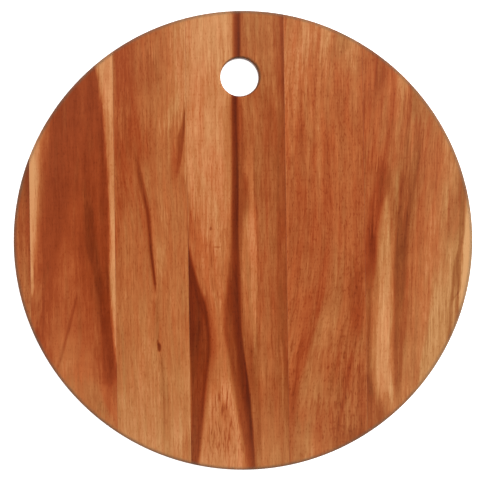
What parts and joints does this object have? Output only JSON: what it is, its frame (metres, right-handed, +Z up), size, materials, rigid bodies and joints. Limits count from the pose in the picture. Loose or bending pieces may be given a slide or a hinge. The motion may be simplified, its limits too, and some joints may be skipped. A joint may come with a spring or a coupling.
{
  "type": "pizza serving board",
  "caption": "Round wooden serving board for pizza, edge-glued from hardwood staves, with eased edges and a hole near the rim to hang it by.",
  "frame": {"origin": "middle of the underside, on the surface that the board lies on", "axes": "+Z up, out of the serving face; +Y from the middle of the board towards the hanging hole; +X to the right, across the staves"},
  "size_m": [0.36, 0.36, 0.015],
  "materials": {
    "stave_1_wood": "oiled, satin",
    "stave_2_wood": "oiled, satin",
    "stave_3_wood": "oiled, satin",
    "stave_4_wood": "oiled, satin",
    "stave_5_wood": "oiled, satin",
    "stave_6_wood": "oiled, satin",
    "wood_glue": "cured glue, sanded flush"
  },
  "bodies": {
    "root": {"stave_1_left_edge": "stave_1_wood", "stave_2": "stave_2_wood", "stave_3": "stave_3_wood", "stave_4_with_hole": "stave_4_wood", "stave_5": "stave_5_wood", "stave_6_right_edge": "stave_6_wood", "glue_line_1": "wood_glue", "glue_line_2": "wood_glue", "glue_line_3": "wood_glue", "glue_line_4": "wood_glue", "glue_line_5": "wood_glue"}
  },
  "joints": []
}
